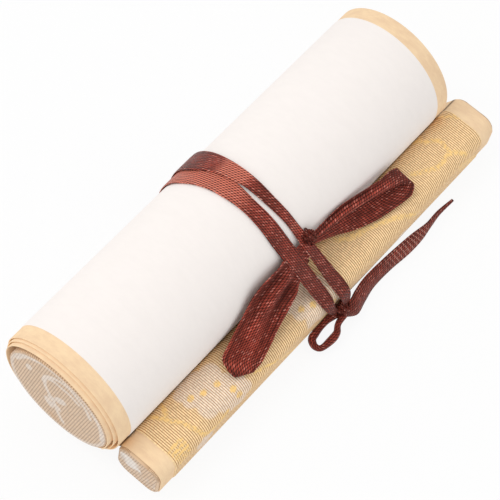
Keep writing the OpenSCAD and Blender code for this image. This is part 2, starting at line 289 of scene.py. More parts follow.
def skin(name, parts, material, attributes=()):
    """Object made of closed skins, each a grid of rings with a UV grid that has one column more.

    Rings run along the first axis and points round the second. A skin that encloses a negative volume is
    turned round, so that its faces point outwards. Attributes are pairs of a name and a value for each point.
    """
    verts, faces, uvs, base = [], [], [], 0
    for rings, uv in parts:
        n, m, _ = rings.shape
        points = rings.reshape(-1, 3)
        quads, closing, (rows, columns), (end_rows, ends) = ring_faces(n, m)
        turn = -1 if enclosed(points, quads, closing) < 0 else 1
        faces += (quads[:, ::turn] + base).tolist() + (closing[:, ::turn] + base).tolist()
        uvs.append(uv[rows, columns][:, ::turn].reshape(-1, 2))
        uvs.append(uv[end_rows, ends][:, ::turn].reshape(-1, 2))
        verts.append(points)
        base += n * m
    mesh = bpy.data.meshes.new(name)
    mesh.from_pydata(np.concatenate(verts).tolist(), [], faces)
    layer = mesh.uv_layers.new(name="UVMap")
    layer.data.foreach_set("uv", np.concatenate(uvs).astype(np.float32).ravel())
    for key, values in attributes:
        attribute = mesh.attributes.new(key, "FLOAT", "POINT")
        attribute.data.foreach_set("value", values.astype(np.float32).ravel())
    mesh.polygons.foreach_set("use_smooth", np.ones(len(mesh.polygons), dtype=bool))
    mesh.set_sharp_from_angle(angle=SHARP_ANGLE)
    mesh.validate()
    obj = bpy.data.objects.new(name, mesh)
    bpy.context.collection.objects.link(obj)
    mesh.materials.append(material)
    return obj


def curve(points, steps):
    """Smooth curve through given points: Catmull-Rom cubics, each cut into the same number of steps.

    The first and last points are doubled, so the curve starts and ends on them.
    """
    p = np.asarray(points, dtype=float)
    padded = np.concatenate([p[:1], p, p[-1:]])
    t = np.append(np.arange((len(p) - 1) * steps) / steps, len(p) - 1)
    i = np.minimum(t.astype(int), len(p) - 2)
    f = (t - i)[:, None]
    a, b, c, d = (padded[i + k] for k in range(4))
    return b + f / 2 * (c - a + f * (2 * a - 5 * b + 4 * c - d + f * (3 * b - a - 3 * c + d)))


def look_up(place, pairs):
    """Values at places, drawn straight between given pairs of place and value."""
    return np.interp(place, *np.array(pairs, dtype=float).T)


def arc(middle, radius, start, end, points):
    """Points (y, z) = middle + radius (cos a, sin a), with a running from start to end."""
    a = np.linspace(start, end, points)[:, None]
    return middle + radius * np.concatenate([np.cos(a), np.sin(a)], axis=1)


def length_along(points):
    """Distance from the first point to each point along a polyline."""
    steps = np.linalg.norm(np.diff(points, axis=0), axis=-1)
    return np.concatenate([[0.0], np.cumsum(steps)])


# The sheet's path: three turns round the roller, then once round the stave

def sheet_sizes():
    """Radius of the first turn, angle where the sheet leaves the roll, and the corners' inset and radius."""
    sheet, roll = settings("sheet"), settings("roll")
    core = roll.cap + SEAT_GAP + sheet.thickness / 2
    corner_in = STAVE_HALF - roll.corner
    corner_r = roll.corner + core
    shoulder = STAVE_MID[1:] + corner_in - np.array([0.0, ROLLER_MID[2]])
    touch = math.atan2(shoulder[1], shoulder[0]) % TURN
    first_r = ROLLER_RADIUS + core + roll.play
    return first_r, touch, corner_in, corner_r


def turn_radius(angle, k):
    """Radius of the winding at an angle on turn k: first + k pitch (1 + gape cos(angle - loose side))."""
    roll = settings("roll")
    first_r = sheet_sizes()[0]
    return first_r + k * roll.pitch * (1 + roll.gape * np.cos(angle - LOOSE_SIDE))


def sheet_path(step):
    """Middle line of the sheet as arrays of (y, z), sideways shift, share of the flare, turn and length.

    On the roll the angle falls from touch by 2 pi a turn and the radius is turn_radius, flattened at the
    bottom. On the stave the path runs round four corner arcs. The shift grows by creep a turn and eases
    to the stave's offset over the last half turn. The innermost edge stands out a little more.
    """
    sheet, roll = settings("sheet"), settings("roll")
    _, touch, corner_in, corner_r = sheet_sizes()
    k = np.linspace(0, roll.turns, WOUND_POINTS)
    angle = touch - TURN * k
    r = turn_radius(angle, k)
    floor = REST_Z + sheet.thickness / 2 + sheet.white_thickness
    wound = np.stack([r * np.cos(angle), np.maximum(ROLLER_MID[2] + r * np.sin(angle), floor)], axis=-1)
    arcs = [((1, 1), touch - math.pi, math.pi / 2), ((-1, 1), math.pi / 2, math.pi),
            ((-1, -1), math.pi, 1.5 * math.pi), ((1, -1), 1.5 * math.pi, WRAP_END)]
    corners = [arc(STAVE_MID[1:] + np.array(side) * corner_in, corner_r, start, end, CORNER_POINTS)
               for side, start, end in arcs]
    path = np.concatenate([wound, *corners])
    turn = np.concatenate([k, np.full(len(path) - len(k), float(roll.turns))])
    slant, flare = (smooth_step((turn - roll.turns) / over + 1) for over in (SLANT_TURNS, FLARE_TURNS))
    stand_out = INNER_EDGE * smooth_step(1 - turn)
    shift = (roll.creep * (turn - 1) - stand_out) * (1 - slant) + STAVE_MID[0] * slant
    s = length_along(path)
    even = np.linspace(0, s[-1], int(s[-1] / step) + 1)
    y, z, shift, flare, turn = (np.interp(even, s, column) for column in (*path.T, shift, flare, turn))
    return np.stack([y, z], axis=-1), shift, flare, turn, even


def path_normals(path):
    """Unit vectors to the left of a path, which point out of the roll."""
    d = np.gradient(path, axis=0)
    return unit(np.stack([-d[:, 1], d[:, 0]], axis=-1))


def path_span(first, last, step):
    """Points, shifts, flare shares, normals and lengths of the path between two lengths."""
    path, shift, flare, _, s = sheet_path(step)
    keep = (s >= first) & (s <= last)
    return [column[keep] for column in (path, shift, flare, path_normals(path), s)]


def layer_rings(first, last, d_in, d_out, width, flare, step, across):
    """Rings of a paper layer between two path lengths, from d_in to d_out beside the path.

    Each ring runs along one face from edge to edge and back along the other. across holds pairs of place,
    from -1 to 1, and inset of the face there. The UV map is (x from the middle, length along the path).
    """
    path, shift, share, normal, s = path_span(first, last, step)
    place, inset = np.array(across).T
    x = np.concatenate([place, place[::-1]]) * (width + flare * share)[:, None] / 2
    d = np.concatenate([d_out - inset, (d_in + inset)[::-1]])
    yz = path[:, None, :] + normal[:, None, :] * d[None, :, None]
    rings = np.concatenate([(shift[:, None] + x)[..., None], yz], axis=-1)
    uv = np.stack(np.broadcast_arrays(np.append(x, x[:, :1], axis=1), s[:, None]), axis=-1)
    return rings, uv


def paper_edge(thickness):
    """Pairs of place and inset across a paper layer, whose edges are rounded by a third of its thickness."""
    flat = 0.9985
    inset = thickness / 3
    return [(-1, inset), (-flat, 0), (-0.5, 0), (0, 0), (0.5, 0), (flat, 0), (1, inset)]


def path_marks():
    """Path lengths at which the white paper ends, the brocade starts, the sheet leaves the roll and ends."""
    _, _, _, turn, s = sheet_path(MARK_STEP)
    turns = settings("roll").turns
    wound = turn < turns
    early = (WHITE_SHORT, FRONT_EARLY, 0.0)
    return *(np.interp(turns - share, turn[wound], s[wound]) for share in early), s[-1]


def crease_shade_mask(s, leave):
    """Mask of the painted shade in the fold: 1 where the sheet leaves the roll, falling off to both sides as
    exp(-((s - leave) / width)^2).
    """
    return np.exp(-((s - leave) / CREASE_SHADE_WIDTH) ** 2)


# Node trees

class Tree:
    """Short calls for building a node tree: each returns the output socket of the node that it adds."""

    def __init__(self, tree):
        self.tree = tree

    def add(self, kind, **values):
        """New node of a kind, with its settings."""
        node = self.tree.nodes.new("ShaderNode" + kind)
        for key, value in values.items():
            setattr(node, key, value)
        return node

    def plug(self, socket, value):
        """Link a socket to another one, or set its constant."""
        if isinstance(value, bpy.types.NodeSocket):
            self.tree.links.new(value, socket)
        elif value is not None:
            socket.default_value = value

    def fill(self, node, values):
        """Plug values into a node's inputs in their order."""
        for socket, value in zip(node.inputs, values):
            self.plug(socket, value)
        return node.outputs[0]

    def math(self, operation, a, b=None, c=None):
        """One step of arithmetic."""
        return self.fill(self.add("Math", operation=operation), (a, b, c))

    def times(self, first, *others):
        """Product of several values."""
        for other in others:
            first = self.math("MULTIPLY", first, other)
        return first

    def scaled(self, value, factor, base):
        """Factor times the value, plus a base."""
        return self.math("MULTIPLY_ADD", value, factor, base)

    def within(self, turn):
        """Place within one repeat of a pattern, from -0.5 to 0.5."""
        return self.math("SUBTRACT", self.math("FRACT", turn), 0.5)

    def bulge(self, f):
        """1 - (2f)^2, which is 1 in the middle of a repeat and 0 at its sides."""
        return self.math("SUBTRACT", 1.0, self.math("POWER", self.math("ABSOLUTE", self.times(f, 2.0)), 2.0))

    def ramp(self, value, low, high, out_low=0.0, out_high=1.0):
        """Smooth step from out_low to out_high while the value goes from low to high."""
        node = self.add("MapRange", interpolation_type="SMOOTHSTEP")
        return self.fill(node, (value, low, high, out_low, out_high))

    def mix(self, factor, a, b, blend="MIX"):
        """Colour a with colour b over it by the factor."""
        node = self.add("Mix", data_type="RGBA", blend_type=blend)
        self.plug(node.inputs[0], factor)
        for socket, colour in zip(node.inputs[6:8], (a, b)):
            self.plug(socket, colour if isinstance(colour, bpy.types.NodeSocket) else (*colour, 1.0))
        return node.outputs[2]

    def split(self, vector):
        """First two parts of a vector."""
        node = self.add("SeparateXYZ")
        self.plug(node.inputs[0], vector)
        return node.outputs[:2]

    def join(self, x, y, z=0.0):
        """Vector of three parts."""
        return self.fill(self.add("CombineXYZ"), (x, y, z))

    def noise(self, vector, scale, detail, roughness=0.55):
        """Soft cloud of noise around 0.5."""
        node = self.add("TexNoise")
        values = {"Vector": vector, "Scale": scale, "Detail": detail, "Roughness": roughness}
        for key, value in values.items():
            self.plug(node.inputs[key], value)
        return node.outputs[0]

    def scatter(self, vector):
        """Random value from 0 to 1 for each place of the plane."""
        return self.fill(self.add("TexWhiteNoise", noise_dimensions="2D"), (vector,))

    def stretch(self, vector, scale):
        """Vector scaled part by part."""
        return self.fill(self.add("VectorMath", operation="MULTIPLY"), (vector, scale))

    def group(self, name, **values):
        """Outputs of a shared node group. An underscore stands for the space in an input's name."""
        node = self.add("Group", node_tree=bpy.data.node_groups[name])
        for key, value in values.items():
            self.plug(node.inputs[key.replace("_", " ")], value)
        return node.outputs

    def uv(self):
        """The piece's own UV map, in metres."""
        return self.add("UVMap", uv_map="UVMap").outputs[0]

    def place(self):
        """Object coordinates."""
        return self.add("TexCoord").outputs["Object"]

    def attribute(self, name):
        """Value that the mesh carries at each point."""
        return self.add("Attribute", attribute_name=name).outputs["Fac"]


def new_group(name, inputs, outputs):
    """Empty shader node group with named sockets: (name, type, default) in and (name, type) out."""
    group = bpy.data.node_groups.new(name, "ShaderNodeTree")
    for label, kind, default in inputs:
        socket = group.interface.new_socket(label, in_out="INPUT", socket_type="NodeSocket" + kind)
        if default is not None:
            socket.default_value = default
    for label, kind in outputs:
        group.interface.new_socket(label, in_out="OUTPUT", socket_type="NodeSocket" + kind)
    tree = Tree(group)
    tree.start = group.nodes.new("NodeGroupInput").outputs
    tree.end = group.nodes.new("NodeGroupOutput").inputs
    return tree


def fibre_group():
    """Paper fibre: long soft strands over fine grain, as a mottle around 0.5 and a height.

    The mottle is half cloud and half strand. The height is 0.6 strand and 0.4 grain.
    """
    t = new_group("Paper fibre", [("Vector", "Vector", None), ("Scale", "Float", 1.0)],
                  [("Mottle", "Float"), ("Height", "Float")])
    vector, scale = t.start[:2]
    drawn_out = t.stretch(vector, (1.0, 0.35, 1.0))
    cloud = t.noise(drawn_out, t.times(scale, 380.0), detail=4.0)
    strand = t.noise(drawn_out, t.times(scale, 900.0), detail=3.0, roughness=0.7)
    grain = t.noise(vector, t.times(scale, 3500.0), detail=2.0)
    t.plug(t.end[0], t.math("ADD", t.times(cloud, 0.5), t.times(strand, 0.5)))
    t.plug(t.end[1], t.math("ADD", t.times(strand, 0.6), t.times(grain, 0.4)))


def ribs_group():
    """Ribbed cloth: a round ridge every pitch across, cut by fine threads along each rib.

    The ridge is the square root of 1 - (2f)^2, where f runs from -0.5 to 0.5 across one rib. The ribs wander
    by 0.08 of the pitch, and a thread is 0.55 of the pitch long.
    """
    t = new_group("Ribbed cloth",
                  [("Across", "Float", 0.0), ("Along", "Float", 0.0), ("Pitch", "Float", 0.001)],
                  [("Ridge", "Float"), ("Thread", "Float")])
    across, along, pitch = t.start[:3]
    wander = t.scaled(t.noise(t.join(across, along), 220.0, detail=2.0), 0.16, -0.08)
    turn = t.math("ADD", t.math("DIVIDE", across, pitch), wander)
    step = t.math("DIVIDE", along, t.times(pitch, 0.55))
    t.plug(t.end[0], t.math("SQRT", t.bulge(t.within(turn))))
    t.plug(t.end[1], t.scatter(t.join(t.math("FLOOR", turn), t.math("FLOOR", step))))


def plait_group():
    """Plaited tape: columns of slanted stitches, every other column moved on by half a stitch.

    The height is the product of 1 - (2f)^2 across the column and along the stitch.
    """
    t = new_group("Plaited tape",
                  [("Vector", "Vector", None), ("Column", "Float", 0.0007), ("Stitch", "Float", 0.001)],
                  [("Height", "Float"), ("Tone", "Float")])
    vector, width, length = t.start[:3]
    across, along = t.split(vector)
    column = t.math("DIVIDE", across, width)
    index = t.math("FLOOR", column)
    f = t.within(column)
    odd = t.math("MODULO", t.math("ABSOLUTE", index), 2.0)
    moved_on = t.math("MULTIPLY_ADD", odd, 0.5, t.times(f, 0.8))
    row = t.math("ADD", t.math("DIVIDE", along, length), moved_on)
    t.plug(t.end[0], t.times(t.bulge(f), t.bulge(t.within(row))))
    t.plug(t.end[1], t.scatter(t.join(index, t.math("FLOOR", row))))


def thread_group():
    """Colour of a brocade: grooves under the ribs, then silver and gold figures where their threads show.

    Silver fades from the ribs' tops to Cover in the grooves, and gold shows more on some threads than on
    others. Each thread is a little paler or darker than the next.
    """
    t = new_group("Brocade threads",
                  [("Ridge", "Float", 0.0), ("Thread", "Float", 0.0), ("Gold mask", "Float", 0.0),
                   ("Silver mask", "Float", 0.0), ("Ground", "Color", None), ("Groove", "Color", None),
                   ("Gold", "Color", None), ("Silver", "Color", None), ("Cover", "Float", 0.0)],
                  [("Color", "Color"), ("Figure", "Float")])
    ridge, thread, gold, silver, ground, groove, gold_tint, silver_tint, cover = t.start[:9]
    base = t.mix(t.ramp(ridge, 0.42, 0.95), groove, ground)
    shown = t.math("MAXIMUM", t.ramp(ridge, 0.4, 0.95, 0.0, 0.85), cover)
    silvered = t.mix(t.times(silver, shown), base, silver_tint)
    gilded = t.mix(t.times(gold, t.ramp(thread, 0.0, 0.7, 0.25, 1.0)), silvered, gold_tint)
    shade = t.scaled(thread, 0.22, 0.87)
    t.plug(t.end[0], t.mix(1.0, gilded, t.join(shade, shade, shade), "MULTIPLY"))
    t.plug(t.end[1], t.math("MAXIMUM", gold, silver))


# Materials

def new_material(name, **constants):
    """Material, the tree to build it in and its Principled shader. An underscore stands for a space."""
    material = bpy.data.materials.new(name)
    material.use_nodes = True
    shader = material.node_tree.nodes["Principled BSDF"]
    for key, value in constants.items():
        shader.inputs[key.replace("_", " ")].default_value = value
    return material, Tree(material.node_tree), shader


def add_bump(tree, shader, height, distance, strength=1.0):
    """Bump node between a height and the shader's normal."""
    bump = tree.add("Bump")
    bump.inputs["Strength"].default_value = strength
    bump.inputs["Distance"].default_value = distance
    tree.plug(bump.inputs["Height"], height)
    tree.plug(shader.inputs["Normal"], bump.outputs[0])


def paper_material(name, tint, contrast):
    """Matte paper: its colour mottled by fibre, and painted shade in the fold where the sheet leaves the
    roll.
    """
    material, t, shader = new_material(name, Roughness=0.85, Specular_IOR_Level=0.2)
    fibre = t.group("Paper fibre", Vector=t.uv())
    dark = tuple(c * (1 - contrast) for c in tint)
    light = tuple(min(1.0, c * (1 + contrast)) for c in tint)
    paper = t.mix(t.ramp(fibre["Mottle"], 0.3, 0.7), dark, light)
    t.plug(shader.inputs["Base Color"], t.mix(t.attribute("fold"), paper, CREASE_SHADE_TINT))
    add_bump(t, shader, fibre["Height"], 0.04 * MM, 0.5)
    return material


def brocade_threads(t, pitch, tints, cover=0.0):
    """Ridges and coloured threads of a brocade, whose figures come from the cloth's own attributes."""
    across, along = t.split(t.uv())
    ribs = t.group("Ribbed cloth", Across=across, Along=along, Pitch=pitch)
    ground, groove, gold, silver = ((*tint, 1.0) for tint in tints)
    threads = t.group("Brocade threads", Ridge=ribs["Ridge"], Thread=ribs["Thread"],
                      Gold_mask=t.attribute("gold"), Silver_mask=t.attribute("silver"),
                      Ground=ground, Groove=groove, Gold=gold, Silver=silver, Cover=cover)
    return ribs["Ridge"], threads


def gold_brocade_material():
    """Ribbed gold brocade with smoother figures, and painted shade in the fold beside the roll."""
    brocade = settings("brocade")
    material, t, shader = new_material("gold_brocade", Specular_IOR_Level=0.1)
    tints = (brocade.ground, brocade.groove, brocade.gold, brocade.silver)
    ridge, threads = brocade_threads(t, brocade.rib, tints)
    t.plug(shader.inputs["Base Color"], t.mix(t.attribute("fold"), threads["Color"], CREASE_SHADE_TINT))
    t.plug(shader.inputs["Roughness"], t.scaled(threads["Figure"], -0.15, 0.55))
    add_bump(t, shader, ridge, 0.12 * MM, 0.3)
    return material


def end_brocade_material():
    """Silver-grey ribbed cloth of the covered ends."""
    brocade = settings("brocade")
    material, t, shader = new_material("end_brocade", Roughness=0.5, Sheen_Weight=0.2)
    tints = (brocade.end_ground, brocade.end_groove, brocade.end_gold, brocade.end_silver)
    ridge, threads = brocade_threads(t, brocade.end_rib, tints, cover=0.7)
    t.plug(shader.inputs["Base Color"], threads["Color"])
    add_bump(t, shader, ridge, 0.15 * MM, 0.35)
    return material


def ribbon_material():
    """Dark red-brown plaited tape: painted light and shade, painted pink glints, pale lacing, and a selvage
    past a dark line.

    The tone of a stitch is the product of its height, its own chance, cloudy and streaky wear, the line and
    the painted light and shade that the mesh carries. Past a tone of 1.08 the stitch is mixed towards a
    painted highlight.
    """
    ribbon = settings("ribbon")
    material, t, shader = new_material(
        "ribbon", Specular_IOR_Level=0.35, Specular_Tint=(1.0, 0.55, 0.45, 1.0),
        Sheen_Weight=0.04, Sheen_Tint=(1.0, 0.5, 0.42, 1.0))
    uv = t.uv()
    plait = t.group("Plaited tape", Vector=uv, Column=ribbon.column, Stitch=ribbon.stitch)
    height, chance = plait["Height"], plait["Tone"]
    edge, painted_shading = t.attribute("edge"), t.attribute("painted_shading")
    selvage = t.ramp(edge, 0.80, 0.88)
    line = t.math("SUBTRACT", t.ramp(edge, 0.68, 0.76), selvage)
    cloud = t.ramp(t.noise(uv, 260.0, detail=3.0), 0.3, 0.7, 0.6, 1.1)
    streak = t.ramp(t.noise(t.stretch(uv, (1.0, 0.12, 1.0)), 900.0, detail=2.0), 0.3, 0.7, 0.75, 1.15)
    stitch = t.ramp(height, 0.05, 0.7)
    tone = t.times(stitch, t.scaled(chance, 0.45, 0.55), cloud, streak, t.scaled(line, -0.6, 1.0), painted_shading)
    # Painted highlight: stitches whose painted shading passes 1.08 are mixed towards the highlight colour
    pale = t.times(stitch, t.ramp(painted_shading, 1.08, 1.4, 0.0, 0.9))
    tape = t.mix(pale, t.mix(tone, ribbon.dark, ribbon.light), ribbon.painted_highlight)
    # Painted highlights: glints on the highest stitches that chance picks, stronger on the selvage
    glint = t.times(t.ramp(chance, 0.72, 0.95), t.ramp(height, 0.5, 0.9), t.scaled(selvage, 0.4, 0.36))
    row = t.math("ABSOLUTE", t.within(t.math("DIVIDE", t.split(uv)[1], ribbon.lacing)))
    lace = t.times(t.ramp(row, 0.3, 0.42), t.ramp(height, 0.15, 0.5, 0.0, 0.6), t.attribute("lace"))
    t.plug(shader.inputs["Base Color"], t.mix(t.math("MAXIMUM", glint, lace), tape, ribbon.glint))
    t.plug(shader.inputs["Roughness"], t.scaled(chance, 0.2, 0.34))
    add_bump(t, shader, t.math("MULTIPLY_ADD", selvage, 0.6, height), 0.22 * MM)
    return material


def wood_material():
    """Plain sanded stick: grain drawn out along the stick."""
    material, t, shader = new_material("stick_wood", Roughness=0.6)
    grain = t.noise(t.stretch(t.place(), (40.0, 900.0, 900.0)), 1.0, detail=6.0, roughness=0.65)
    t.plug(shader.inputs["Base Color"], t.mix(t.ramp(grain, 0.3, 0.7), WOOD_DARK, WOOD_LIGHT))
    add_bump(t, shader, grain, 0.05 * MM, 0.4)
    return material


# Figures of the brocades, as masks over places on the cloth

def spot(u, v, middle, radii, turn=0.0, soft=0.12):
    """1 inside an ellipse and 0 outside it: its scaled radius falls off from 1 - soft to 1 + soft."""
    c, s = math.cos(turn), math.sin(turn)
    du, dv = u - middle[0], v - middle[1]
    r = np.hypot((c * du + s * dv) / radii[0], (c * dv - s * du) / radii[1])
    return 1 - smooth_step((r - 1 + soft) / (2 * soft))


def blossom(u, v, middle, radius, petals, turn):
    """1 inside a round flower and 0 outside it: its outline is radius (0.78 + 0.22 |cos(petals a / 2)|).

    The mask falls off from 0.94 to 1.06 of the outline.
    """
    du, dv = u - middle[0], v - middle[1]
    a = np.arctan2(dv, du) - turn
    edge = radius * (0.78 + 0.22 * np.abs(np.cos(petals * a / 2)))
    return 1 - smooth_step((np.hypot(du, dv) / edge - 0.94) / 0.12)


def stem(u, v, points, half):
    """1 near a smooth curve through points and 0 away from it.

    The least distance to the curve's samples falls off from 0.75 to 1.25 of half the line's width.
    """
    near = np.full(u.shape, np.inf)
    for p in curve(points, STEM_STEPS):
        near = np.minimum(near, np.hypot(u - p[0], v - p[1]))
    return 1 - smooth_step((near / half - 0.75) / 0.5)


def most(masks):
    """Largest of several masks at each place."""
    return np.maximum.reduce(list(masks))


# Places in millimetres: along the stave from its middle, and round it from the fold line beside the roll
FLOWERS = [((-43.0, 8.0), 7.3), ((-5.5, 12.5), 7.2), ((30.0, 29.0), 8.0), ((-25.0, 36.0), 8.0),
           ((50.0, 44.0), 7.0)]
LOBES = [((-51.5, 18.8), 3.4), ((-46.4, 4.8), 4.6), ((-38.4, 13.0), 5.2), ((-9.5, 9.5), 4.4),
         ((-1.5, 16.5), 4.6)]
PETALS = 6
PETAL_TURN = 0.4
STEMS = [
    [(-58.3, 0.8), (-56.2, 5.4), (-54.1, 8.9), (-52.7, 12.9), (-51.2, 15.4), (-47.6, 16.3), (-43, 15.4)],
    [(-53.4, 0.4), (-54.6, 3.6), (-56.2, 5.4)],
    [(-22, 18), (-17.6, 21), (-10, 26)],
    [(10.9, 4.5), (13.9, 6.5), (21.3, 9.6), (28, 12.5), (35, 17)],
    [(39.9, 7.2), (43.3, 9.3), (47.1, 11), (52.4, 10.9), (56, 14)],
    [(49.5, 0.5), (49.8, 3.2), (53.1, 6.2), (53, 8.5), (52.4, 10.9)],
    [(-44, 27), (-36, 30), (-28, 28.5), (-16, 33), (-4, 31), (6, 36), (18, 34)],
]
STEM_HALF = 0.62
STROKES = [
    [(-31.6, 13), (-27.6, 14.2), (-23.8, 16)],
    *([(-62.2 + 0.3 * k, 11.4 + 1.15 * k), (-59.8, 11.2 + 1.15 * k), (-57.2, 11.4 + 1.1 * k)]
      for k in range(5)),
]
STROKE_HALF = 0.34
LEAVES = [
    ((61.2, 3.8), (3.4, 0.7), 0.9), ((57, 19), (5.4, 2.2), 0.6), ((60.5, 21.5), (3.6, 1.6), 0.5),
    ((49.5, 1.8), (1.6, 1.0), 0.2), ((15.0, 7.2), (4.4, 1.1), 0.4), ((-27, 24), (3.4, 1.4), -0.5),
    ((4, 24), (4.4, 1.6), 0.4), ((-48, 30), (5.0, 1.8), 0.2), ((36, 40), (4.6, 1.7), -0.4)]

# Spots of a flower, in shares of its radius
FLOWER_SPOTS = [(-0.66, -0.26), (-0.21, -0.08), (0.36, 0.05), (0.62, 0.55), (0.68, 0.85)]
SPOT_RADII = (0.13, 0.11)


def brocade_figures(u, v):
    """Gold and silver masks of the stave's cloth: silver flowers with gold spots, gold stems and leaves.

    Stems show at 0.85 and leaves at 0.7 of their full strength, and gold hides the silver under it.
    """
    u, v = u / MM, v / MM
    silver = most(blossom(u, v, middle, radius, PETALS, PETAL_TURN) for middle, radius in FLOWERS + LOBES)
    spots = [spot(u, v, (x + radius * du, y + radius * dv), (SPOT_RADII[0] * radius, SPOT_RADII[1] * radius))
             for (x, y), radius in FLOWERS for du, dv in FLOWER_SPOTS]
    gold = most([*spots, *(0.85 * stem(u, v, way, STEM_HALF) for way in STEMS),
                 *(stem(u, v, way, STROKE_HALF) for way in STROKES),
                 *(0.7 * spot(u, v, *leaf) for leaf in LEAVES)])
    return gold, silver * (1 - gold)


# Places on the roller's ends, in shares of the radius
LEAF_LINES = [
    [(0.3, 0.3), (0.25, 0.54), (0.07, 0.76), (-0.18, 0.86), (-0.4, 0.74), (-0.58, 0.57), (-0.66, 0.36)],
    [(0.24, 0.52), (0.09, 0.62), (-0.06, 0.62), (-0.22, 0.63), (-0.42, 0.55)],
    [(0.25, 0.53), (0.27, 0.26), (0.18, 0.0), (0.08, -0.15)],
    [(0.06, -0.2), (0.02, -0.36), (-0.05, -0.55), (-0.14, -0.72)],
    [(-0.7, 0.6), (-0.82, 0.45), (-0.9, 0.18), (-0.92, -0.1)],
    [(0.86, 0.3), (0.66, 0.66), (0.4, 0.88)],
]
LEAF_PETALS = [
    ((0.17, -0.36), (0.15, 0.09), 1.2), ((-0.06, 0.06), (0.16, 0.09), 2.2), ((0.02, -0.3), (0.11, 0.08), 0.3),
    ((0.12, -0.12), (0.1, 0.08), 2.0), ((0.6, 0.36), (0.11, 0.06), 1.8)]
LEAF_GOLD = ((0.05, -0.8), (0.16, 0.08), 0.6)
LEAF_HALF = 0.04


def leaf_figures(y, z):
    """Gold and silver masks of a roller end: a long leaf in lines, a flower and a pale rim.

    Gold shows at 0.4, silver at 0.6 and the rim, from 0.9 of the radius, at 0.5 of their full strength.
    """
    silver = most([*(stem(y, z, way, LEAF_HALF) for way in LEAF_LINES),
                   *(spot(y, z, *petal) for petal in LEAF_PETALS)])
    rim = smooth_step((np.hypot(y, z) - 0.9) / 0.05)
    return 0.4 * spot(y, z, *LEAF_GOLD), np.maximum(0.6 * silver, 0.5 * rim)


# Places on the stave's ends, in shares of its half size
PATCHES = [((0.5, 0.2), (0.5, 0.5), 0.5), ((0.15, 0.2), (0.34, 0.18), 0.4)]
PATCH_LINES = [[(0.9, -0.3 - k), (0.2, -0.2 - k), (-0.9, 0.1 - k)] for k in (0.0, 0.25, 0.5)]
PATCH_BROWN = ((0.05, -0.68), (0.26, 0.12), 0.4)
PATCH_LINE_HALF = 0.05


def patch_figures(y, z):
    """Gold and silver masks of a stave end: a silver patch, faint lines at 0.35 and a brown spot at 0.9."""
    patch = most(spot(y, z, *part) for part in PATCHES)
    lines = most(stem(y, z, way, PATCH_LINE_HALF) for way in PATCH_LINES)
    return 0.9 * spot(y, z, *PATCH_BROWN), np.maximum(patch, 0.35 * lines)


# Operators

def stand_in(piece, node):
    """Let a piece stand for a node of the frame and ride its body."""
    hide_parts(node)
    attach(piece, BODY)


class ScrollOperator:
    """What all the scroll's operators share."""
    bl_options = {"REGISTER", "UNDO"}


class SCROLL_OT_groups(ScrollOperator, bpy.types.Operator):
    """Build the node groups that the finishes share."""
    bl_idname = "scroll.groups"
    bl_label = "Shared finishes"

    def execute(self, context):
        for build in (fibre_group, ribs_group, plait_group, thread_group):
            build()
        return {"FINISHED"}


class SCROLL_OT_sheet(ScrollOperator, bpy.types.Operator):
    """Wind the mounting paper and the white paper, and wrap the brocade round the stave."""
    bl_idname = "scroll.sheet"
    bl_label = "Paper and brocade"

    def execute(self, context):
        sheet = settings("sheet")
        white_end, front_start, leave, end = path_marks()
        half = sheet.thickness / 2
        bare = sheet.width - 2 * sheet.border
        front = sheet.width + sheet.flare - 2 * sheet.stave_border
        rings, uv = layer_rings(0, end, -half, half, sheet.width, sheet.flare, PAPER_STEP,
                                paper_edge(sheet.thickness))
        # Painted shade along the fold where the sheet leaves the roll
        fold = np.broadcast_to(crease_shade_mask(uv[:, :-1, 1], leave), rings.shape[:2])
        mounting = skin("mounting_sheet_paper", [(rings, uv)],
                        paper_material("mounting_paper", sheet.tan, contrast=0.09), [("fold", fold)])
        part = layer_rings(WHITE_START, white_end, half - sheet.white_thickness / 2,
                           half + sheet.white_thickness, bare, 0.0, PAPER_STEP,
                           paper_edge(sheet.white_thickness))
        panel = skin("white_panel_paper", [part], paper_material("white_paper", sheet.white, contrast=0.012))
        brocade = self.brocade(front_start, leave, end, -half, front)
        stand_in(mounting, "mounting_sheet")
        stand_in(panel, "white_panel")
        stand_in(brocade, "brocade_panel")
        return {"FINISHED"}

    def brocade(self, start, leave, end, base, width):
        """Cloth on the front of the paper: its outer face is a fine grid that carries the figures.

        Its edges dip by half its thickness, and its inner face is sunk a quarter of it into the paper.
        """
        cloth = settings("sheet").cloth_thickness
        path, shift, _, normal, s = path_span(start, end, CLOTH_STEP)
        place = np.linspace(-1, 1, CLOTH_COLUMNS)
        dip = np.where(np.abs(place) == 1, cloth / 2, 0.0)
        x = np.concatenate([place, [1, -1]]) * width / 2
        d = np.concatenate([base - cloth + dip, [base + cloth / 4] * 2])
        yz = path[:, None, :] + normal[:, None, :] * d[None, :, None]
        rings = np.concatenate([(shift[:, None] + x[None, :])[..., None], yz], axis=-1)
        u, v = np.broadcast_arrays(x[None, :], (s - leave)[:, None])
        uv = np.stack([np.append(u, u[:, :1], axis=1), np.append(v, v[:, :1], axis=1)], axis=-1)
        gold, silver = brocade_figures(u, v)
        # The fold attribute carries the painted shade beside the roll
        return skin("brocade_panel_cloth", [(rings, uv)], gold_brocade_material(),
                    [("gold", gold), ("silver", silver), ("fold", crease_shade_mask(v, 0.0))])


